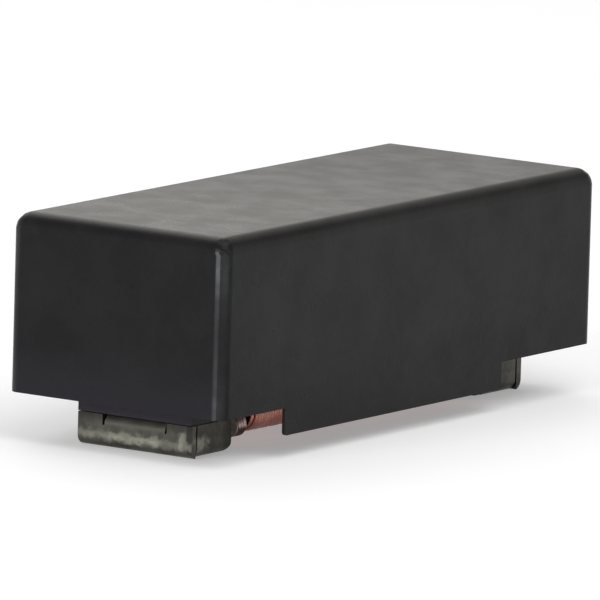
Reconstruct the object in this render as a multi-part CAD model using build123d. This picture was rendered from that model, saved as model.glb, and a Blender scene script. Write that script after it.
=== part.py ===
from build123d import *
from math import sqrt
import os

os.makedirs("parts", exist_ok=True)

# A surface-mount transponder coil: a ferrite bar in a wound bobbin, two folded
# terminals and a protective cap. Millimetres, X along the coil, Z up.
# The origin is under the middle of the cap, on the plane of the solder pads.
# The sizes run outwards: the bar sets the bobbin and winding, and they set the cap.

# Core
core_length = 6.80
core_width = 1.24
core_height = 1.24
core_edge_radius = 0.10
core_clearance = 0.02
core_recess = 0.086

# Bobbin
barrel_wall = 0.16
foot_wall = 0.096
block_length = 0.72
block_edge_chamfer = 0.07
flange_edge_radius = 0.12
flange_rise = 0.02
web_width = 1.00
web_clearance = 0.02
neck_wall = 0.05
neck_floor = 0.10

# Winding
ridge_pitch = 0.20
ridge_depth = 0.04
winding_depth = 0.22
winding_ground_gap = 0.19
winding_end_radius = 0.15
winding_corner_radius = 0.05
winding_clearance = 0.01
flange_clearance = 0.02

# Cap
end_wall = 0.30
side_wall = 0.22
roof = 0.35
winding_side_gap = 0.36
winding_top_gap = 0.26
terminal_gap = 0.154
flange_side_gap = 0.05
rim_height = 0.62
skirt_height = 0.28
skirt_start_margin = 1.35
skirt_finish_margin = 2.03
skirt_land = 0.04
skirt_bevel = 0.30
skirt_bevel_rise = 0.17
skirt_root = 0.15
skirt_corner_radius = 0.05
top_edge_radius = 0.20
corner_radius = 0.16
cavity_radius = 0.12

# Terminals
sheet = 0.10
bend_radius = 0.03
clip_clearance = 0.01
seam = 0.03
leaf_width = 0.90
leaf_length = 0.45
leaf_roof = 0.15
tab_corner_radius = 0.12
tab_overhang = 0.02
post_height = 0.14
post_end_gap = 0.02
post_drop = 0.31

# Leads and solder
lead_diameter = 0.05
lead_sides = 6
lead_turns = 2.25
lead_pitch = 0.055
lead_end_gap = 0.02
lead_rise = 0.13
lead_inset = 0.07
lead_clearance = 0.005
solder_radius = 0.14
solder_length = 0.03
solder_edge_chamfer = 0.02

# Adhesive
glue_gap = 0.06
glue_diameter = 0.90
core_glue_depth = 0.07
core_glue_clearance = 0.01

# Across the coil, from the bar out to the cap
bore_width = core_width + 2 * core_clearance
barrel_width = bore_width + 2 * barrel_wall
winding_width = barrel_width + 2 * winding_depth
cavity_side = winding_width / 2 + winding_side_gap
cap_side = cavity_side + side_wall
cap_width = 2 * cap_side
flange_half_width = cavity_side - flange_side_gap
block_side = bore_width / 2 + foot_wall
neck_side = bore_width / 2 + neck_wall
tab_inner = block_side + clip_clearance
tab_outer = tab_inner + sheet
tab_middle = tab_inner + sheet / 2

# Along the coil, from the bar out to the cap
block_face = core_length / 2 + core_recess
terminal_face = block_face + clip_clearance + sheet
cap_end = terminal_face + terminal_gap + end_wall
cap_length = 2 * cap_end
block_back = block_face - block_length
tab_end = block_back - tab_overhang
wrap_start = tab_end - solder_length - lead_clearance - lead_diameter / 2
wrap_end = wrap_start - lead_turns * lead_pitch
winding_end = wrap_end - lead_diameter / 2 - lead_end_gap
flange_back = winding_end + flange_clearance
flange_middle = (block_face + flange_back) / 2

# Upwards, from the solder pads to the top of the cap
bore_height = core_height + 2 * core_clearance
barrel_height = bore_height + 2 * barrel_wall
winding_height = barrel_height + 2 * winding_depth
core_axis_height = winding_ground_gap + winding_height / 2
bore_bottom = core_axis_height - bore_height / 2
cavity_top = winding_ground_gap + winding_height + winding_top_gap
overall_height = cavity_top + roof
flange_bottom = rim_height + flange_rise
flange_top = cavity_top - glue_gap
block_bottom = sheet + clip_clearance
leaf_height = bore_bottom - leaf_roof - clip_clearance
post_axis_height = rim_height - post_drop

# Bends of the terminals and the wire round their posts
bend_middle = bend_radius + sheet / 2
bend_outer = bend_radius + sheet
wrap_radius = sqrt((post_height / 2) ** 2 + (sheet / 2) ** 2) + lead_diameter / 2 + lead_clearance


def block(x_span, y_span, z_span):
    """A plain box between two values on each axis."""
    size = [abs(high - low) for low, high in (x_span, y_span, z_span)]
    middle = [(low + high) / 2 for low, high in (x_span, y_span, z_span)]
    return Pos(*middle) * Box(*size)


def turned(piece):
    """The same piece at the other end, half a turn about the vertical."""
    return Rot(0, 0, 180) * piece


def side_plane(y):
    """A sketch plane square to Y, with its own Y pointing up."""
    return Plane(origin=(0, y, 0), x_dir=(1, 0, 0), z_dir=(0, -1, 0))


def skirt_outline(y, start, finish, bottom, top):
    """One section of a skirt, with rounded lower corners."""
    middle = ((start + finish) / 2, (bottom + top) / 2)
    outline = Pos(*middle) * Rectangle(finish - start, top - bottom)
    lower_corners = outline.vertices().sort_by(Axis.Y)[:2]
    return side_plane(y) * fillet(lower_corners, skirt_corner_radius)


def skirt():
    """The wall below the rim on the -Y side, bevelled inside along its free edges."""
    start = -cap_end + skirt_start_margin
    finish = cap_end - skirt_finish_margin
    top = rim_height + skirt_root
    outer = skirt_outline(-cap_side, start, finish, skirt_height, top)
    land = extrude(outer, amount=-skirt_land)
    outer_edge = skirt_outline(-cap_side + skirt_land, start, finish, skirt_height, top)
    inner_edge = skirt_outline(
        -cavity_side,
        start + skirt_bevel,
        finish - skirt_bevel,
        skirt_height + skirt_bevel_rise,
        top,
    )
    return land + loft([outer_edge, inner_edge])


def cap():
    """The moulded shell: open below, with a long skirt on each side between the windows."""
    height = overall_height - rim_height
    outline = RectangleRounded(cap_length, cap_width, corner_radius)
    body = Pos(0, 0, rim_height) * extrude(outline, amount=height)
    body = fillet(body.faces().sort_by(Axis.Z)[-1].edges(), top_edge_radius)
    hollow = RectangleRounded(cap_length - 2 * end_wall, cap_width - 2 * side_wall, cavity_radius)
    cavity = Pos(0, 0, rim_height) * extrude(hollow, amount=cavity_top - rim_height)
    cavity = fillet(cavity.faces().sort_by(Axis.Z)[-1].edges(), cavity_radius / 2)
    return body - cavity + skirt() + turned(skirt())


def leaf_slot():
    """The slot in the outer face that the terminal's leaf is pushed into, flared below."""
    low = leaf_height - sheet - clip_clearance
    high = leaf_height + clip_clearance
    depth = leaf_length
    outline = Polyline(
        (-block_face, low - block_edge_chamfer),
        (-block_face + block_edge_chamfer, low),
        (-block_face + depth, low),
        (-block_face + depth, high),
        (-block_face, high),
        close=True,
    )
    half_width = leaf_width / 2 + clip_clearance
    return extrude(side_plane(0) * make_face(outline), amount=half_width, both=True)


def bobbin_end():
    """Flange, foot with its shoulder, web and neck at the -X end, before the bore is cut."""
    flange_height = flange_top - flange_bottom
    plan = RectangleRounded(block_face - flange_back, 2 * flange_half_width, flange_edge_radius)
    flange = Pos(-flange_middle, 0, flange_bottom) * extrude(plan, amount=flange_height)
    foot = block(
        (-block_face, -block_back),
        (-block_side, block_side),
        (block_bottom, flange_bottom),
    )
    foot = chamfer(foot.faces().sort_by(Axis.Z)[0].edges(), block_edge_chamfer)
    shoulder = block(
        (-terminal_face, -block_back),
        (-tab_outer, tab_outer),
        (leaf_height + clip_clearance, flange_bottom),
    )
    web_bottom = winding_ground_gap - web_clearance
    web = block(
        (-block_back, -flange_back),
        (-web_width / 2, web_width / 2),
        (web_bottom, flange_bottom),
    )
    neck = block(
        (-block_back, -flange_back),
        (-neck_side, neck_side),
        (bore_bottom - neck_floor, flange_bottom),
    )
    return flange + foot + shoulder + web + neck - leaf_slot()


def bobbin():
    """The moulded carrier: a square tube between two flanges, with a foot at each end."""
    barrel = Pos(0, 0, core_axis_height) * Box(2 * flange_back, barrel_width, barrel_height)
    barrel = fillet(barrel.edges().filter_by(Axis.X), winding_corner_radius)
    bore = Pos(0, 0, core_axis_height) * Box(2 * block_face, bore_width, bore_height)
    return barrel + bobbin_end() + turned(bobbin_end()) - bore


def core():
    """The sintered ferrite bar."""
    bar = Pos(0, 0, core_axis_height) * Box(core_length, core_width, core_height)
    return fillet(bar.edges().filter_by(Axis.X), core_edge_radius)


def winding_section(x, depth):
    """A section of the winding at x, standing this far off the barrel."""
    width = barrel_width + 2 * depth
    height = barrel_height + 2 * depth
    plane = Plane(origin=(x, 0, core_axis_height), x_dir=(0, 1, 0), z_dir=(1, 0, 0))
    return plane * RectangleRounded(width, height, winding_corner_radius + depth)


def rounded_depth(x):
    """Depth of the winding at x, rounded off towards its ends."""
    from_end = winding_end - abs(x)
    if from_end >= winding_end_radius:
        return winding_depth
    short = winding_end_radius - from_end
    return winding_depth - winding_end_radius + sqrt(winding_end_radius ** 2 - short ** 2)


def winding():
    """Turns of enamelled wire, as one ridged sleeve on the barrel."""
    turns = round(2 * winding_end / ridge_pitch)
    pitch = 2 * winding_end / turns
    sections = []
    for step in range(2 * turns + 1):
        x = -winding_end + step * pitch / 2
        crest = step % 2 == 1
        depth = rounded_depth(x) - (0 if crest else ridge_depth)
        sections.append(winding_section(x, depth))
    sleeve = loft(sections, ruled=True)
    opening = winding_section(-winding_end, winding_clearance)
    return sleeve - extrude(opening, amount=2 * winding_end)


def bent_strip(plane, corners, width):
    """Sheet bent along a path of corners in a plane, centred on it and this wide."""
    path = FilletPolyline(*corners, radius=bend_middle)
    profile = plane * trace(path, line_width=sheet)
    return extrude(profile, amount=width / 2, both=True)


def terminal():
    """The folded clip at the -X end: pad, eared end plate, leaf, side tabs and wire post."""
    plate = -terminal_face + sheet / 2
    foot = sheet / 2
    leaf = leaf_height - sheet / 2
    inner_end = -block_back
    end_strip = bent_strip(
        side_plane(0),
        [(plate, leaf_height), (plate, foot), (inner_end, foot)],
        2 * tab_outer,
    )
    end_strip -= block(
        (-terminal_face, -block_face),
        (-leaf_width / 2 - seam, leaf_width / 2 + seam),
        (leaf_height - bend_outer, leaf_height),
    )
    leaf_strip = bent_strip(
        side_plane(0),
        [(-block_face + leaf_length - clip_clearance, leaf), (plate, leaf), (plate, bend_outer)],
        leaf_width,
    )
    tab_start = -terminal_face + bend_outer
    relief_start = tab_start - seam
    for side in (-1, 1):
        end_strip -= block(
            (relief_start, inner_end),
            (side * (tab_outer - bend_outer), side * cap_side),
            (0, block_bottom),
        )
    tab_plane = Plane(origin=((tab_start - tab_end) / 2, 0, 0), x_dir=(0, 1, 0), z_dir=(1, 0, 0))
    tabs = bent_strip(
        tab_plane,
        [(-tab_middle, leaf_height), (-tab_middle, foot), (tab_middle, foot), (tab_middle, leaf_height)],
        abs(tab_end + tab_start),
    )
    tabs -= tab_corner_cut(-1) + tab_corner_cut(1)
    post = block(
        (-tab_end - sheet, -winding_end - post_end_gap),
        (-tab_outer, -tab_inner),
        (post_axis_height - post_height / 2, post_axis_height + post_height / 2),
    )
    return end_strip + leaf_strip + tabs + post


def tab_corner_cut(side):
    """What rounding the lower inner corner takes off one side tab."""
    radius = tab_corner_radius
    square = Pos(-tab_end - radius / 2, radius / 2) * Rectangle(radius, radius)
    disc = Pos(-tab_end - radius, radius) * Circle(radius)
    depth = bend_outer
    cut = extrude(side_plane(0) * (square - disc), amount=depth / 2, both=True)
    return Pos(0, side * (tab_outer - depth / 2), 0) * cut


def lead():
    """The wire end at the -X end: round the terminal's post, then up into the winding."""
    start = (-wrap_start, -tab_middle, post_axis_height)
    helix = Helix(lead_pitch, wrap_start - wrap_end, wrap_radius, lefthand=True)
    wrap = Location(start, (0, 90, 0)) * helix
    end = wrap @ 1
    goal = Vector(-winding_end - lead_clearance, end.Y + lead_inset, end.Z + lead_rise)
    tail = Spline(end, goal, tangents=[wrap % 1, (1, 0, 0)])
    section = Plane(wrap @ 0, z_dir=wrap % 0) * RegularPolygon(lead_diameter / 2, lead_sides)
    return sweep(section, path=Wire([wrap, tail]))


def solder():
    """The bead that joins the wire to the root of the post."""
    profile = Pos(solder_length / 2, solder_radius / 2) * Rectangle(solder_length, solder_radius)
    outer_corner = profile.vertices().sort_by(Axis.Y)[-2:].sort_by(Axis.X)[-1]
    profile = chamfer(outer_corner, solder_edge_chamfer)
    bead = revolve(profile, axis=Axis.X)
    post_hole = Box(4 * solder_length, sheet, post_height)
    root = Pos(-tab_end, -tab_middle, post_axis_height)
    return root * (bead - post_hole)


def cap_adhesive():
    """A pressed drop between the top of the -X flange and the cap's roof."""
    drop = Cylinder(glue_diameter / 2, glue_gap)
    return Pos(-flange_middle, 0, flange_top + glue_gap / 2) * drop


def core_adhesive():
    """A thin fill that closes the bore in front of the core's -X end."""
    middle = -(core_length / 2 + core_glue_depth / 2)
    fill = Box(
        core_glue_depth,
        bore_width - 2 * core_glue_clearance,
        bore_height - 2 * core_glue_clearance,
    )
    fill = fillet(fill.edges().filter_by(Axis.X), core_edge_radius)
    return Pos(middle, 0, core_axis_height) * fill


nodes = {
    "cap": cap(),
    "bobbin": bobbin(),
    "core": core(),
    "winding": winding(),
}
paired = {
    "terminal": terminal(),
    "lead": lead(),
    "solder": solder(),
    "cap_adhesive": cap_adhesive(),
    "core_adhesive": core_adhesive(),
}
for name, piece in paired.items():
    nodes["start_" + name] = piece
    nodes["finish_" + name] = turned(piece)

for name, piece in nodes.items():
    export_step(piece, f"parts/{name}.step")
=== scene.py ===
import math
import random

import bpy
from mathutils import Matrix, Vector


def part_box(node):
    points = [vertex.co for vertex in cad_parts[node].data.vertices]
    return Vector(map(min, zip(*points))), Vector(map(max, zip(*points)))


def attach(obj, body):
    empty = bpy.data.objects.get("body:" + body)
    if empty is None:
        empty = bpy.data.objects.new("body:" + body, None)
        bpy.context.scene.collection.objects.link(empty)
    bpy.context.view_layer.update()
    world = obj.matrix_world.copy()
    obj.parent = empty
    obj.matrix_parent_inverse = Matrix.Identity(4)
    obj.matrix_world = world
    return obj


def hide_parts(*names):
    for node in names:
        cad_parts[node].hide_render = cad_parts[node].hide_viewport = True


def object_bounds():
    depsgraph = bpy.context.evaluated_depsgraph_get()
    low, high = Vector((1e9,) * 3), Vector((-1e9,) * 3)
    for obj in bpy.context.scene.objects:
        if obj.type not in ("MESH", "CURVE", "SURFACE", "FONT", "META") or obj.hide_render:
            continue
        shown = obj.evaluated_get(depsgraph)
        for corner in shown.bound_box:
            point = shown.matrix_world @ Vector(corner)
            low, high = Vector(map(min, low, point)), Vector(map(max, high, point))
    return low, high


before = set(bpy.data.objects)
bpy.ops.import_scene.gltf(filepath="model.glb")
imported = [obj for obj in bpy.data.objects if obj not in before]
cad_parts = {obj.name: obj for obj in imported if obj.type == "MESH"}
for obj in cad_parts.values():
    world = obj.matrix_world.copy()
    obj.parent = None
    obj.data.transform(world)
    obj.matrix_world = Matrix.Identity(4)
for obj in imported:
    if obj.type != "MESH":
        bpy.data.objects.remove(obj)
cad_low, cad_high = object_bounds()

MM = 0.001
BODY = "root"
ENDS = ("start", "finish")

# The camera: azimuth, elevation and roll in degrees, lengths in metres
CAMERA_AZIMUTH = -55.55
CAMERA_ELEVATION = 9.21
CAMERA_ROLL = 1.62
CAMERA_DISTANCE = 0.1760
PIXELS_PER_METRE = 80900.0
PICTURE_SIZE = 600
SENSOR_WIDTH = 36.0
AIM_HEIGHT = 1.4307 * MM
AIM_RIGHT_PIXELS = 5.2
AIM_DOWN_PIXELS = 1.8
CLIP_RATIO = 100

# The studio: strength of the light from all round, and the floor's reach, its gap below the
# part, its own white and the size of its faint clouds
AMBIENT = 0.40
FLOOR_REACH = 1.0
FLOOR_GAP = 0.002 * MM
FLOOR_GLOW = 0.30
FLOOR_CLOUDS = 6 * MM

# Its sky in reflections: white up to one height and greyer above, as a direction's Z
SKY_WHITE_BELOW = 0.19
SKY_GREY_ABOVE = 0.45
SKY_GREY = 0.34
WHITE = (1, 1, 1, 1)
WARM_WHITE = (1.0, 0.985, 0.95, 1)

# The values of a noise between which a finish goes from one look to the other
NOISE_LOW = 0.3
NOISE_HIGH = 0.7

# Upright edges, pale with scuffs and a painted highlight: how pale they are, and how much of
# that shows at mid-height, on the half of the rounding beside a long side, and on the two edges
# that are spared
EDGE_SCUFF_AND_GLINT_SHARE = 0.36
EDGE_SCUFF_AND_GLINT_LEAST = 0.42
EDGE_SCUFF_AND_GLINT_BESIDE = 0.22
EDGE_SCUFF_AND_GLINT_SPARED = 0.15

# Where the scuffs and painted highlight are: heights of the upper and lower corners, and the
# rounding's two halves, by how far the surface points along Y
EDGE_UPPER = (1.9 * MM, 2.45 * MM)
EDGE_LOWER = (0.65 * MM, 1.2 * MM)
EDGE_LOWER_SCUFF_AND_GLINT = 0.45
EDGE_END_HALF = (0.10, 0.45)
EDGE_SIDE_HALF = (0.55, 0.90)
EDGE_SOFT = 0.08
EDGE_NOISE_SIZE = 0.25 * MM

# How far along an axis a surface points when it starts and ends to count as facing that way:
# up, to an end, to a long side, and no longer upright
FACING_UP = (0.6, 0.98)
FACING_END = (0.6, 0.9)
FACING_SIDE = (0.7, 0.95)
NOT_UPRIGHT = (0.1, 0.35)

# Black plastic changes a little between these places along X: its dust with a painted sheen,
# and its roughness
CAP_ENDS = (-4 * MM, 4 * MM)
DUST_AND_SHEEN_AT_ENDS = (1.15, 0.85)
DULLING_AT_ENDS = (-0.015, 0.03)

# Its relief, as depth and strength: pits, and the finer grain on top of them
PITS = (0.004 * MM, 0.3)
GRAIN = (0.0025 * MM, 0.5)
# Pale warm dust on top, which also paints in part of the top's sheen
DUST_AND_SHEEN_COLOR = (0.26, 0.24, 0.20, 1)

# The cap's ends are paler and bluer towards their lower rim, between these heights
END_PALER_BELOW = 1.3 * MM
END_PALEST_BELOW = 0.60 * MM
END_PALE_LEAST = 0.25

# How much more sheen the top has than the sides, and how fast the ends' upper edges lose it
TOP_SHEEN = 1.62
END_SHEEN_LOSS = 0.5

# How much of their sheen the long sides keep towards their lower rim, between these heights
SIDE_DULL_FROM = 1.6 * MM
SIDE_DULL_FULL = 0.6 * MM
SIDE_DULL = 0.86

# Terminals: bright tin in a band on the end plate, which is solder-wetted tin and a painted
# reflection of the floor, in a painted highlight streak beside it, and in a solder-wetted patch
# on each side tab
END_PLATE_X = 3.56 * MM
END_PLATE_SOFT = 0.03 * MM
BAND_LOW = 0.09 * MM
BAND_HIGH = 0.20 * MM
BAND_SOFT = 0.035 * MM
BAND_HALF_WIDTH = 0.42 * MM
BAND_END_SOFT = 0.12 * MM
HIGHLIGHT_STREAK_WIDTH = (0.67 * MM, 0.76 * MM)
HIGHLIGHT_STREAK_HIGH = 0.31 * MM
HIGHLIGHT_STREAK_SHARE = 0.75
PATCH_INNER = 3.26 * MM
PATCH_OUTER = 3.52 * MM
PATCH_HIGH = 0.25 * MM
WETTING_STRAYS = 0.03 * MM

# Terminals: the painted shade on the end plate's upper part under the cap, the +X end where the
# wetted patch fades, the lip painted paler as painted light in its shaded recess, the plate's
# darker side and the painted shade in the tabs' lower inner corners
PLATE_UPPER_FROM = 0.26 * MM
PLATE_UPPER_TO = 0.40 * MM
PATCH_FADE_X = 2.0 * MM
LIP_HALF_WIDTH = 0.46 * MM
LIP_SOFT = 0.01 * MM
PLATE_SIDE = (0.765 * MM, 0.80 * MM)
TAB_SHADE_X = (3.02 * MM, 2.80 * MM)
TAB_SHADE_Z = (0.22 * MM, 0.06 * MM)

# Colours of the tin, in pairs from dark to pale where it is blotched: wetted by solder together
# with a painted reflection and highlight, on the tabs and as painted shade at their lower corner,
# on the end plate, as painted shade on its upper part and on its darker side, and as painted
# light on the lip
WETTED_AND_LIT_TIN = ((0.24, 0.236, 0.19, 1), (0.44, 0.435, 0.37, 1))
TAB_TIN = ((0.036, 0.034, 0.028, 1), (0.085, 0.080, 0.068, 1))
TAB_CORNER_SHADE_TIN = (0.010, 0.009, 0.008, 1)
PLATE_TIN = ((0.064, 0.062, 0.051, 1), (0.120, 0.117, 0.099, 1))
PLATE_SHADE_TIN = (0.016, 0.015, 0.014, 1)
PLATE_SIDE_TIN = (0.020, 0.019, 0.017, 1)
LIP_PAINTED_LIGHT = (0.24, 0.235, 0.205, 1)

# Wire round the posts: heights where it is brown with flux and painted shade, pale tin with a
# painted highlight, and bare copper again
WRAPS_BROWN_SHADE = 0.275 * MM
WRAPS_TIN_HIGHLIGHT = 0.345 * MM
WRAPS_COPPER = 0.46 * MM

# The winding: one wire laid turn by turn, a little unevenly
WIRE_PITCH = 0.055 * MM
WIRE_SIDES = 6
CORNER_STEPS = 6
END_ROUNDING = 0.15 * MM
CORNER_RADIUS = 0.24 * MM
WIRE_SEED = 7
WIRE_UNEVENNESS = 0.005 * MM

# The leads: a wire wound round each post, then up into the winding
LEAD_DIAMETER = 0.05 * MM
LEAD_PITCH = 0.055 * MM
LEAD_TURNS = 2.25
LEAD_INSET = 0.07 * MM
LEAD_STEPS = 28
LEAD_SIDES = 12


def way_to(azimuth, elevation):
    """The direction away from the object at these angles in degrees."""
    azimuth, elevation = math.radians(azimuth), math.radians(elevation)
    return Vector((
        math.sin(azimuth) * math.cos(elevation),
        -math.cos(azimuth) * math.cos(elevation),
        math.sin(elevation),
    ))


def new_object(name, data):
    """A new object in the scene that shows this data."""
    made = bpy.data.objects.new(name, data)
    bpy.context.scene.collection.objects.link(made)
    return made


def grey(value, warmth=0.0):
    """A linear grey, warmed or cooled a little."""
    return (value * (1 + warmth), value, value * (1 - warmth), 1)


def bluish(value):
    """A linear grey with a blue cast."""
    return (value, 0.93 * value, 1.2 * value, 1)


class Nodes:
    """A node tree, with short calls for the nodes that materials and sky share."""

    def __init__(self, tree):
        self.tree = tree
        self.tree.nodes.clear()

    def node(self, kind, **settings):
        made = self.tree.nodes.new(kind)
        for name, value in settings.items():
            setattr(made, name, value)
        return made

    def link(self, source, target):
        self.tree.links.new(source, target)

    def put(self, target, value):
        """Sets an input to a number or colour, or links it to an output."""
        if isinstance(value, bpy.types.NodeSocket):
            self.link(value, target)
        else:
            target.default_value = value

    def ramp(self, value, low, high, first=0.0, last=1.0, shape="SMOOTHSTEP"):
        """Value between low and high, spread from first to last."""
        spread = self.node("ShaderNodeMapRange", interpolation_type=shape)
        names = ("Value", "From Min", "From Max", "To Min", "To Max")
        for name, amount in zip(names, (value, low, high, first, last)):
            self.put(spread.inputs[name], amount)
        return spread.outputs[0]

    def math(self, operation, first, second=0.0):
        node = self.node("ShaderNodeMath", operation=operation)
        self.put(node.inputs[0], first)
        self.put(node.inputs[1], second)
        return node.outputs[0]

    def product(self, first, *others):
        for other in others:
            first = self.math("MULTIPLY", first, other)
        return first

    def mix(self, share, first, second):
        """From the first colour to the second by this share."""
        node = self.node("ShaderNodeMix", data_type="RGBA")
        self.put(node.inputs[0], share)
        self.put(node.inputs[6], first)
        self.put(node.inputs[7], second)
        return node.outputs[2]

    def seen_directly(self):
        """1 for what the camera, reflections and glass see, 0 for what only lights things."""
        path = self.node("ShaderNodeLightPath")
        seen = self.math("MAXIMUM", path.outputs["Is Camera Ray"], path.outputs["Is Glossy Ray"])
        return self.math("MAXIMUM", seen, path.outputs["Is Transmission Ray"])


class Material(Nodes):
    """A node material, with short calls for what the finishes share."""

    def __init__(self, name):
        self.material = bpy.data.materials.new(name)
        self.material.use_nodes = True
        super().__init__(self.material.node_tree)
        self.output = self.node("ShaderNodeOutputMaterial")
        self.shader = self.node("ShaderNodeBsdfPrincipled")
        self.link(self.shader.outputs[0], self.output.inputs["Surface"])
        self.place = self.node("ShaderNodeTexCoord").outputs["Object"]

    def noise(self, size, detail=3.0, rough=0.5, stretch=(1, 1, 1), offset=(0, 0, 0)):
        """Noise whose blobs are about this size in metres, stretched along an axis."""
        mapping = self.node("ShaderNodeMapping")
        mapping.inputs["Scale"].default_value = [1 / (size * s) for s in stretch]
        mapping.inputs["Location"].default_value = offset
        self.link(self.place, mapping.inputs["Vector"])
        noise = self.node("ShaderNodeTexNoise")
        noise.inputs["Scale"].default_value = 1.0
        noise.inputs["Detail"].default_value = detail
        noise.inputs["Roughness"].default_value = rough
        self.link(mapping.outputs[0], noise.inputs["Vector"])
        return noise.outputs["Fac"]

    def along(self, axis):
        """The place on the object along one axis, in metres."""
        split = self.node("ShaderNodeSeparateXYZ")
        self.link(self.place, split.inputs[0])
        return split.outputs[axis]

    def facing(self, axis):
        """The surface's direction along one axis, from -1 to 1."""
        split = self.node("ShaderNodeSeparateXYZ")
        self.link(self.node("ShaderNodeNewGeometry").outputs["True Normal"], split.inputs[0])
        return split.outputs[axis]

    def magnitude(self, value):
        """The value without its sign."""
        return self.math("ABSOLUTE", value)

    def varied(self, noise, first, last):
        """A number that goes from first to last as the noise rises."""
        return self.ramp(noise, NOISE_LOW, NOISE_HIGH, first, last)

    def blotched(self, noise, first, last):
        """A colour that goes from first to last as the noise rises."""
        return self.mix(self.ramp(noise, NOISE_LOW, NOISE_HIGH), first, last)

    def strayed(self, value, noise, amount):
        """The value moved up and down by noise, so that what follows it gets a ragged edge."""
        return self.math("ADD", value, self.varied(noise, -amount, amount))

    def band(self, value, low, high, soft, full=1.0):
        """Full where the value is between low and high, with soft ends."""
        rise = self.ramp(value, low - soft, low + soft, 0.0, full)
        return self.product(rise, self.ramp(value, high - soft, high + soft, 1.0, 0.0))

    def bump(self, height, depth, strength, before=None):
        """Relief of this depth in metres, on top of the relief before it."""
        node = self.node("ShaderNodeBump")
        node.inputs["Strength"].default_value = strength
        node.inputs["Distance"].default_value = depth
        self.link(height, node.inputs["Height"])
        if before is not None:
            self.link(before, node.inputs["Normal"])
        self.link(node.outputs[0], self.shader.inputs["Normal"])
        return node.outputs[0]

    def finish(self, color, roughness, metallic=0.0, specular=0.5, coat=0.0, coat_roughness=0.1):
        self.put(self.shader.inputs["Base Color"], color)
        self.put(self.shader.inputs["Roughness"], roughness)
        self.put(self.shader.inputs["Specular IOR Level"], specular)
        self.shader.inputs["Metallic"].default_value = metallic
        self.shader.inputs["Coat Weight"].default_value = coat
        self.shader.inputs["Coat Roughness"].default_value = coat_roughness
        return self.material

    def glow_white(self, share):
        """Lets the camera, reflections and glass see this much white on top of the shader."""
        glow = self.node("ShaderNodeEmission")
        self.link(self.product(self.seen_directly(), share), glow.inputs["Strength"])
        both = self.node("ShaderNodeAddShader")
        self.link(self.shader.outputs[0], both.inputs[0])
        self.link(glow.outputs[0], both.inputs[1])
        self.link(both.outputs[0], self.output.inputs["Surface"])


def scuffs_and_edge_highlight(m):
    """How pale the upright rounded edges are with scuffs and a painted highlight: most near their upper
    and lower corners.
    """
    upright = m.ramp(m.magnitude(m.facing("Z")), *NOT_UPRIGHT, 1.0, 0.0)
    height = m.along("Z")
    lower = m.ramp(height, *EDGE_LOWER, EDGE_LOWER_SCUFF_AND_GLINT, 0.0)
    corners = m.math("ADD", m.ramp(height, *EDGE_UPPER), lower)
    uneven = m.ramp(m.noise(EDGE_NOISE_SIZE, detail=4), 0.35, 0.65, 0.6, 1.0)
    across = m.magnitude(m.facing("Y"))
    beside = m.band(across, *EDGE_SIDE_HALF, EDGE_SOFT, EDGE_SCUFF_AND_GLINT_BESIDE)
    rounding = m.math("ADD", m.band(across, *EDGE_END_HALF, EDGE_SOFT), beside)
    which_edge = m.product(m.facing("X"), m.facing("Y"))
    spared = m.ramp(which_edge, -0.05, 0.05, EDGE_SCUFF_AND_GLINT_SPARED, 1.0)
    return m.product(rounding, spared, upright, uneven, m.math("ADD", corners, EDGE_SCUFF_AND_GLINT_LEAST))


def end_paling(m):
    """How much paler and bluer the end faces are: more towards their lower rim."""
    on_end = m.ramp(m.magnitude(m.facing("X")), *FACING_END)
    return m.product(on_end, m.ramp(m.along("Z"), END_PALER_BELOW, END_PALEST_BELOW, END_PALE_LEAST, 1.0))


def dust_and_sheen(m, smudge):
    """How much pale dust, partly a painted sheen, lies on what faces up: smudged, and a little more
    towards the -X end.
    """
    facing_up = m.ramp(m.facing("Z"), *FACING_UP)
    smudged = m.ramp(smudge, 0.36, 0.62, 0.70, 1.0)
    return m.product(facing_up, smudged, m.ramp(m.along("X"), *CAP_ENDS, *DUST_AND_SHEEN_AT_ENDS))


def plastic_sheen(m, specular):
    """Specular level: highest on top, less on the ends' upper edges and low down on the sides."""
    tilt = m.product(m.magnitude(m.facing("X")), END_SHEEN_LOSS)
    sheen = m.ramp(m.math("SUBTRACT", m.facing("Z"), tilt), *FACING_UP, specular, TOP_SHEEN * specular)
    on_side = m.ramp(m.magnitude(m.facing("Y")), *FACING_SIDE)
    low_on_side = m.product(on_side, m.ramp(m.along("Z"), SIDE_DULL_FROM, SIDE_DULL_FULL))
    return m.product(sheen, m.ramp(low_on_side, 0.0, 1.0, 1.0, SIDE_DULL))


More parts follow.
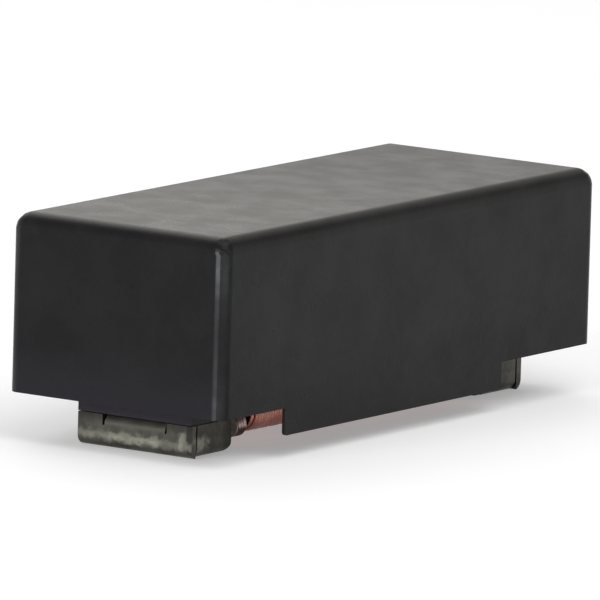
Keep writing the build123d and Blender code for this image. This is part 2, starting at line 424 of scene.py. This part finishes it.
def black_plastic(name, shades, roughness, dust_and_top_sheen, specular, end_pale):
    """Moulded black plastic: fine spark-eroded grain, uneven sheen, and dust on top that also paints in
    sheen.
    """
    m = Material(name)
    cloud = m.noise(0.7 * MM, detail=4)
    mottle = m.noise(0.16 * MM, detail=5, rough=0.6)
    smudge = m.noise(0.42 * MM, detail=6, rough=0.6, stretch=(1, 1.3, 1), offset=(3.1, 1.7, 0))
    pits = m.noise(0.06 * MM, detail=2)
    grain = m.noise(0.022 * MM, detail=4, rough=0.65)
    shade = m.math("ADD", m.product(cloud, 0.7), m.product(mottle, 0.3))
    color = m.mix(m.ramp(shade, 0.35, 0.65), *shades)
    color = m.mix(end_paling(m), color, bluish(end_pale))
    # dust on top, partly a painted sheen that is brighter towards the -X end
    color = m.mix(m.product(dust_and_sheen(m, smudge), dust_and_top_sheen), color, DUST_AND_SHEEN_COLOR)
    # painted highlight along the upright edges, drawn as pale scuffs
    color = m.mix(m.product(scuffs_and_edge_highlight(m), EDGE_SCUFF_AND_GLINT_SHARE), color, grey(0.30, -0.03))
    duller = m.ramp(m.along("X"), *CAP_ENDS, *DULLING_AT_ENDS)
    uneven = m.math("ADD", m.ramp(smudge, 0.34, 0.66, *roughness), duller)
    coarse = m.bump(pits, *PITS)
    m.bump(grain, *GRAIN, before=coarse)
    m.put(m.shader.inputs["Specular Tint"], WARM_WHITE)
    return m.finish(color, uneven, specular=plastic_sheen(m, specular))


def side_tab(m, blots, outward):
    """Tin of the side tabs, with painted shade at their lower inner corner."""
    # painted shade in the tab's lower inner corner
    corner = m.product(m.ramp(outward, *TAB_SHADE_X), m.ramp(m.along("Z"), *TAB_SHADE_Z), 0.75)
    return m.mix(corner, m.blotched(blots, *TAB_TIN), TAB_CORNER_SHADE_TIN)


def end_plate(m, blots, across):
    """Tin of the end plate, with painted shade in its upper part under the cap, and darker at the edge by
    one long side.
    """
    # painted shade from the cap over the plate's upper part
    upper = m.ramp(m.along("Z"), PLATE_UPPER_FROM, PLATE_UPPER_TO, 0.0, 0.55)
    plate = m.mix(upper, m.blotched(blots, *PLATE_TIN), PLATE_SHADE_TIN)
    return m.mix(m.ramp(across, *PLATE_SIDE, 0.0, 0.7), plate, PLATE_SIDE_TIN)


def wetted_and_lit_plate(m, mottle, blots, across, height):
    """Bright tin on the end plate: a band that breaks up outwards, solder-wetted and partly a painted
    reflection of the floor, and a painted highlight streak.
    """
    middle = m.band(across, -BAND_HALF_WIDTH, BAND_HALF_WIDTH, BAND_END_SOFT)
    middle = m.math("MAXIMUM", middle, m.ramp(blots, 0.3, 0.6, 0.2, 0.6))
    band = m.product(middle, m.band(height, BAND_LOW, BAND_HIGH, BAND_SOFT))
    # painted highlight streak on the end plate's vertical bend
    highlight_streak = m.band(m.strayed(across, mottle, WETTING_STRAYS), *HIGHLIGHT_STREAK_WIDTH, BAND_SOFT)
    rise = m.band(height, BAND_LOW, HIGHLIGHT_STREAK_HIGH, 0.7 * BAND_SOFT, HIGHLIGHT_STREAK_SHARE)
    return m.math("MAXIMUM", band, m.product(highlight_streak, rise))


def wetted_tab(m, mottle, outward, height):
    """What solder has wetted on the side tabs: a patch, fainter at the +X end."""
    width = m.band(m.strayed(outward, mottle, 2 * WETTING_STRAYS), PATCH_INNER, PATCH_OUTER, 2 * BAND_SOFT)
    rise = m.band(height, BAND_LOW, PATCH_HIGH, BAND_SOFT)
    return m.product(width, rise, m.ramp(m.along("X"), 0.0, PATCH_FADE_X, 0.7, 0.1))


def tinned_sheet():
    """Dull tin plate with brushed streaks, a brighter band by the board that is solder-wetted and partly a
    painted reflection, and painted shade above.
    """
    m = Material("tinned_sheet")
    mottle = m.noise(0.12 * MM, detail=5, rough=0.6)
    blots = m.noise(0.30 * MM, detail=4, rough=0.6)
    streaks = m.noise(0.02 * MM, detail=3, stretch=(9, 9, 1))
    outward = m.magnitude(m.along("X"))
    across = m.math("DIVIDE", m.product(m.along("X"), m.along("Y")), END_PLATE_X)
    on_end = m.ramp(outward, END_PLATE_X, END_PLATE_X + END_PLATE_SOFT)
    color = m.mix(on_end, side_tab(m, blots, outward), end_plate(m, blots, across))
    # the lip of the leaf's bend, painted paler as painted light where it sits in shade
    lip = m.band(across, -LIP_HALF_WIDTH, LIP_HALF_WIDTH, LIP_SOFT)
    lip = m.product(lip, m.ramp(m.along("Z"), PLATE_UPPER_FROM, PLATE_UPPER_TO))
    color = m.mix(lip, color, LIP_PAINTED_LIGHT)
    ragged_height = m.strayed(m.along("Z"), mottle, WETTING_STRAYS)
    on_plate = m.product(on_end, wetted_and_lit_plate(m, mottle, blots, across, ragged_height))
    wetted_and_lit = m.math("ADD", on_plate, wetted_tab(m, mottle, outward, ragged_height))
    # bright tin where solder has wetted, with a painted reflection in the band and a painted highlight in
    # the streak
    color = m.mix(wetted_and_lit, color, m.mix(m.ramp(mottle, 0.35, 0.7), *WETTED_AND_LIT_TIN))
    coarse = m.bump(mottle, depth=0.006 * MM, strength=0.6)
    m.bump(streaks, depth=0.0015 * MM, strength=0.5, before=coarse)
    return m.finish(color, m.ramp(mottle, 0.3, 0.75, 0.38, 0.55), metallic=0.7)


def solder_metal():
    """Frozen solder: satin, with a faintly crinkled skin."""
    m = Material("solder")
    crinkle = m.noise(0.05 * MM, detail=4)
    color = m.blotched(crinkle, (0.40, 0.33, 0.30, 1), (0.58, 0.52, 0.49, 1))
    m.bump(crinkle, depth=0.006 * MM, strength=0.6)
    return m.finish(color, m.varied(crinkle, 0.28, 0.45), metallic=0.9)


def enamelled_copper():
    """Copper wire under a clear enamel, a little uneven from turn to turn, with painted shade on its
    downward faces.
    """
    m = Material("copper_wire")
    drift = m.noise(0.35 * MM, detail=3)
    turns = m.noise(0.05 * MM, detail=2, stretch=(1, 12, 12))
    color = m.blotched(drift, (0.42, 0.135, 0.090, 1), (0.60, 0.25, 0.185, 1))
    color = m.mix(m.ramp(turns, 0.45, 0.75, 0.0, 0.5), color, (0.30, 0.08, 0.05, 1))
    # painted shade on the winding's lower corners, where they face downwards
    painted_shade_below = m.band(m.facing("Z"), -0.95, -0.58, 0.14, 0.75)
    color = m.mix(painted_shade_below, color, (0.07, 0.018, 0.012, 1))
    m.bump(turns, depth=0.002 * MM, strength=0.4)
    return m.finish(color, m.varied(drift, 0.30, 0.42), metallic=0.85, coat=0.6, coat_roughness=0.15)


def tinned_wraps_painted_light():
    """The wire round a post: copper, pale tin with a painted highlight higher up, and brown flux with
    painted shade below.
    """
    m = Material("tinned_wire_painted_light")
    blots = m.noise(0.06 * MM, detail=4)
    # brown flux below, darkened further as painted shade
    flux_and_shade = m.blotched(blots, (0.03, 0.010, 0.008, 1), (0.08, 0.028, 0.022, 1))
    # pale tin above, made as pale as a painted highlight
    tin = m.blotched(blots, (0.76, 0.55, 0.54, 1), (0.95, 0.76, 0.75, 1))
    color = m.mix(m.ramp(m.along("Z"), WRAPS_BROWN_SHADE, WRAPS_TIN_HIGHLIGHT), flux_and_shade, tin)
    color = m.mix(m.ramp(m.along("Z"), WRAPS_TIN_HIGHLIGHT, WRAPS_COPPER), color, (0.50, 0.19, 0.13, 1))
    m.bump(blots, depth=0.003 * MM, strength=0.5)
    return m.finish(color, m.varied(blots, 0.35, 0.5), metallic=0.55, specular=0.6)


def ferrite():
    """Sintered ferrite: dark grey, matt, finely pitted."""
    m = Material("ferrite")
    pits = m.noise(0.03 * MM, detail=5, rough=0.7)
    color = m.blotched(m.noise(0.4 * MM, detail=3), grey(0.035), grey(0.06))
    m.bump(pits, depth=0.004 * MM, strength=0.7)
    return m.finish(color, m.varied(pits, 0.55, 0.75))


def amber_resin():
    """Cured adhesive: amber, glossy and slightly cloudy."""
    m = Material("adhesive")
    cloud = m.noise(0.15 * MM, detail=3)
    color = m.blotched(cloud, (0.30, 0.15, 0.05, 1), (0.48, 0.28, 0.12, 1))
    m.bump(cloud, depth=0.01 * MM, strength=0.4)
    return m.finish(color, m.varied(cloud, 0.12, 0.25))


def rounded_rectangle(width, height):
    """Points round a rectangle with rounded corners, anticlockwise: each one as the middle of
    its corner's rounding and the direction outwards from there."""
    points = []
    for corner, (sign_y, sign_z) in enumerate(((1, 1), (-1, 1), (-1, -1), (1, -1))):
        middle = (sign_y * (width / 2 - CORNER_RADIUS), sign_z * (height / 2 - CORNER_RADIUS))
        for step in range(CORNER_STEPS + 1):
            angle = math.pi / 2 * (corner + step / CORNER_STEPS)
            points.append((middle, (math.cos(angle), math.sin(angle))))
    return points


def shares_of_way(outline):
    """How far round the outline each of its points lies, from 0 to 1."""
    places = [Vector(middle) + Vector(direction) * CORNER_RADIUS for middle, direction in outline]
    lengths = [(places[(i + 1) % len(places)] - place).length for i, place in enumerate(places)]
    whole = sum(lengths)
    return [sum(lengths[:i]) / whole for i in range(len(places))]


def drop_at_end(from_end):
    """How much the rounding at the winding's ends lowers a turn this far from its end."""
    if from_end >= END_ROUNDING:
        return 0.0
    return END_ROUNDING - math.sqrt(END_ROUNDING ** 2 - (END_ROUNDING - from_end) ** 2)


def winding_path(low, high):
    """The middle line of the fine wire, turn by turn inside this box."""
    wire = WIRE_PITCH / 2
    middle_z = (low.z + high.z) / 2
    outline = rounded_rectangle(high.y - low.y - 2 * wire, high.z - low.z - 2 * wire)
    shares = shares_of_way(outline)
    length = high.x - low.x - 2 * wire
    turns = int(length / WIRE_PITCH)
    pitch = length / turns
    uneven = random.Random(WIRE_SEED)
    path = []
    for turn in range(turns):
        sink = WIRE_UNEVENNESS * uneven.random()
        for (middle, direction), share in zip(outline, shares):
            x = low.x + wire + (turn + share) * pitch
            drop = drop_at_end(min(x - low.x, high.x - x))
            reach = CORNER_RADIUS - drop - sink * (1 + 0.5 * uneven.random())
            path.append(Vector((
                x,
                middle[0] + direction[0] * reach,
                middle_z + middle[1] + direction[1] * reach,
            )))
    return path


def lead_path(end, low, high):
    """The middle line of a wire end: round the post inside this box, then up to the winding."""
    sign = -1 if end == "start" else 1
    wire = LEAD_DIAMETER / 2
    wrap = (high.y - low.y) / 2 - wire
    middle_y = (low.y + high.y) / 2
    middle_z = low.z + wrap + wire
    begin = sign * max(abs(low.x), abs(high.x)) - sign * wire
    inner = sign * min(abs(low.x), abs(high.x))
    path = []
    steps = int(LEAD_TURNS * LEAD_STEPS)
    for step in range(steps + 1):
        angle = 2 * math.pi * LEAD_TURNS * step / steps
        path.append(Vector((
            begin - sign * LEAD_PITCH * LEAD_TURNS * step / steps,
            middle_y + sign * wrap * math.sin(angle),
            middle_z - wrap * math.cos(angle),
        )))
    last = path[-1]
    goal = Vector((inner, last.y - sign * LEAD_INSET, high.z - wire))
    tail_steps = LEAD_STEPS // 2
    for step in range(1, tail_steps + 1):
        angle = step / tail_steps * math.pi / 2
        rise = math.sin(angle)
        across = 1 - math.cos(angle)
        path.append(Vector((
            last.x + (goal.x - last.x) * across,
            last.y + (goal.y - last.y) * across,
            last.z + (goal.z - last.z) * rise,
        )))
    return path


def tube(path, radius, sides):
    """Vertices and faces of a round tube with closed ends along a path of points."""
    vertices, faces = [], []
    normal = None
    for index, point in enumerate(path):
        ahead = path[min(index + 1, len(path) - 1)] - path[max(index - 1, 0)]
        along = ahead.normalized()
        if normal is None:
            normal = along.orthogonal().normalized()
        normal = (normal - along * normal.dot(along)).normalized()
        side = along.cross(normal)
        for step in range(sides):
            angle = 2 * math.pi * step / sides
            vertices.append(point + (normal * math.cos(angle) + side * math.sin(angle)) * radius)
    for ring in range(len(path) - 1):
        for step in range(sides):
            first = ring * sides + step
            second = ring * sides + (step + 1) % sides
            faces.append((first, second, second + sides, first + sides))
    faces.append(tuple(reversed(range(sides))))
    faces.append(tuple(range(len(vertices) - sides, len(vertices))))
    return vertices, faces


def new_piece(name, vertices, faces, material, slot, *replaced):
    """A smooth-shaded mesh piece that rides on the part and stands for CAD nodes."""
    mesh = bpy.data.meshes.new(name)
    mesh.from_pydata(vertices, [], faces)
    mesh.validate()
    mesh.polygons.foreach_set("use_smooth", [True] * len(mesh.polygons))
    mesh.materials.append(material)
    piece = new_object(name, mesh)
    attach(piece, BODY)
    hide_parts(*replaced)


def winding_wires(material):
    """The winding as one continuous fine wire inside the CAD sleeve."""
    low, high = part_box("winding")
    vertices, faces = tube(winding_path(low, high), WIRE_PITCH / 2, WIRE_SIDES)
    new_piece("winding_wires", vertices, faces, material, "copper_wire", "winding")


def lead_wire(end, material):
    """One wire end as a round wire inside the CAD lead."""
    low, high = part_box(end + "_lead")
    vertices, faces = tube(lead_path(end, low, high), LEAD_DIAMETER / 2, LEAD_SIDES)
    new_piece(end + "_lead_wire", vertices, faces, material, "copper_wire", end + "_lead")


def dress(node, material):
    """Gives a CAD node its finish."""
    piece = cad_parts[node]
    piece.data.materials.clear()
    piece.data.materials.append(material)


def dress_frame():
    """Finishes of the pieces that keep their CAD shape."""
    dress("cap", black_plastic(
        "cap_plastic", shades=(grey(0.009, -0.05), grey(0.016, -0.03)), roughness=(0.275, 0.345),
        dust_and_top_sheen=0.10, specular=0.12, end_pale=0.022,
    ))
    # the bobbin's black is paler than the cap's, as painted light where it sits in the cap's shade
    dress("bobbin", black_plastic(
        "bobbin_plastic", shades=(grey(0.038), grey(0.054)), roughness=(0.45, 0.6),
        dust_and_top_sheen=0.05, specular=0.15, end_pale=0.055,
    ))
    dress("core", ferrite())
    tin, bead, resin = tinned_sheet(), solder_metal(), amber_resin()
    for end in ENDS:
        dress(end + "_terminal", tin)
        dress(end + "_solder", bead)
        dress(end + "_cap_adhesive", resin)
        dress(end + "_core_adhesive", resin)


def add_floor():
    """A plain pale floor just below the part, wide enough for every view."""
    mesh = bpy.data.meshes.new("floor")
    level = cad_low[2] - FLOOR_GAP
    corners = [(x * FLOOR_REACH, y * FLOOR_REACH, level) for x, y in ((-1, -1), (1, -1), (1, 1), (-1, 1))]
    mesh.from_pydata(corners, [], [(0, 1, 2, 3)])
    floor = new_object("floor", mesh)
    m = Material("floor")
    color = m.blotched(m.noise(FLOOR_CLOUDS, detail=2), grey(0.80), grey(0.82))
    m.finish(color, 0.9, specular=0.1)
    m.glow_white(FLOOR_GLOW)
    mesh.materials.append(m.material)


def add_sky():
    """Soft light from all round, white to the camera and a warm white to grey in reflections."""
    world = bpy.data.worlds.new("studio")
    world.use_nodes = True
    w = Nodes(world.node_tree)
    to_camera = w.node("ShaderNodeLightPath").outputs["Is Camera Ray"]
    way = w.node("ShaderNodeSeparateXYZ")
    w.link(w.node("ShaderNodeTexCoord").outputs["Generated"], way.inputs[0])
    sky = w.ramp(way.outputs["Z"], SKY_WHITE_BELOW, SKY_GREY_ABOVE, 1.0, SKY_GREY, shape="LINEAR")
    seen = w.node("ShaderNodeBackground")
    w.put(seen.inputs["Color"], w.mix(to_camera, WARM_WHITE, WHITE))
    w.put(seen.inputs["Strength"], w.math("MAXIMUM", sky, to_camera))
    light = w.node("ShaderNodeBackground")
    w.put(light.inputs["Color"], WHITE)
    w.put(light.inputs["Strength"], AMBIENT)
    chosen = w.node("ShaderNodeMixShader")
    w.link(w.seen_directly(), chosen.inputs[0])
    w.link(light.outputs[0], chosen.inputs[1])
    w.link(seen.outputs[0], chosen.inputs[2])
    w.link(chosen.outputs[0], w.node("ShaderNodeOutputWorld").inputs["Surface"])
    bpy.context.scene.world = world


def add_lamp(name, azimuth, elevation, distance, size, power):
    """A square soft box that points at the middle of the object."""
    away = way_to(azimuth, elevation)
    data = bpy.data.lights.new(name, "AREA")
    data.size = size
    data.energy = power
    lamp = new_object(name, data)
    lamp.location = (Vector(cad_low) + Vector(cad_high)) / 2 + away * distance
    lamp.rotation_euler = away.to_track_quat("Z", "Y").to_euler()


def axes_of_view():
    """The camera's right, up and back directions."""
    azimuth, roll = math.radians(CAMERA_AZIMUTH), math.radians(CAMERA_ROLL)
    back = way_to(CAMERA_AZIMUTH, CAMERA_ELEVATION)
    level = Vector((math.cos(azimuth), math.sin(azimuth), 0))
    upright = back.cross(level)
    right = math.cos(roll) * level + math.sin(roll) * upright
    up = -math.sin(roll) * level + math.cos(roll) * upright
    return right, up, back


def add_camera():
    """A long lens at the photograph's angle, aimed a few pixels beside the middle."""
    right, up, back = axes_of_view()
    middle = Vector((0, 0, AIM_HEIGHT))
    aim = middle - right * AIM_RIGHT_PIXELS / PIXELS_PER_METRE + up * AIM_DOWN_PIXELS / PIXELS_PER_METRE
    data = bpy.data.cameras.new("camera")
    data.sensor_width = SENSOR_WIDTH
    data.lens = PIXELS_PER_METRE * CAMERA_DISTANCE * SENSOR_WIDTH / PICTURE_SIZE
    data.clip_start = CAMERA_DISTANCE / CLIP_RATIO
    data.clip_end = CAMERA_DISTANCE * CLIP_RATIO
    camera = new_object("camera", data)
    turn = Matrix((right, up, back)).transposed().to_4x4()
    camera.matrix_world = Matrix.Translation(aim + back * CAMERA_DISTANCE) @ turn
    bpy.context.scene.camera = camera


dress_frame()
winding_wires(enamelled_copper())
wraps = tinned_wraps_painted_light()
for end in ENDS:
    lead_wire(end, wraps)
add_floor()
add_sky()
add_lamp("key", azimuth=-20, elevation=60, distance=0.12, size=0.10, power=0.065)
add_lamp("fill", azimuth=-95, elevation=25, distance=0.16, size=0.05, power=0.06)
add_lamp("rear", azimuth=140, elevation=45, distance=0.14, size=0.10, power=0.04)
add_camera()
bpy.context.scene.view_settings.view_transform = "Standard"
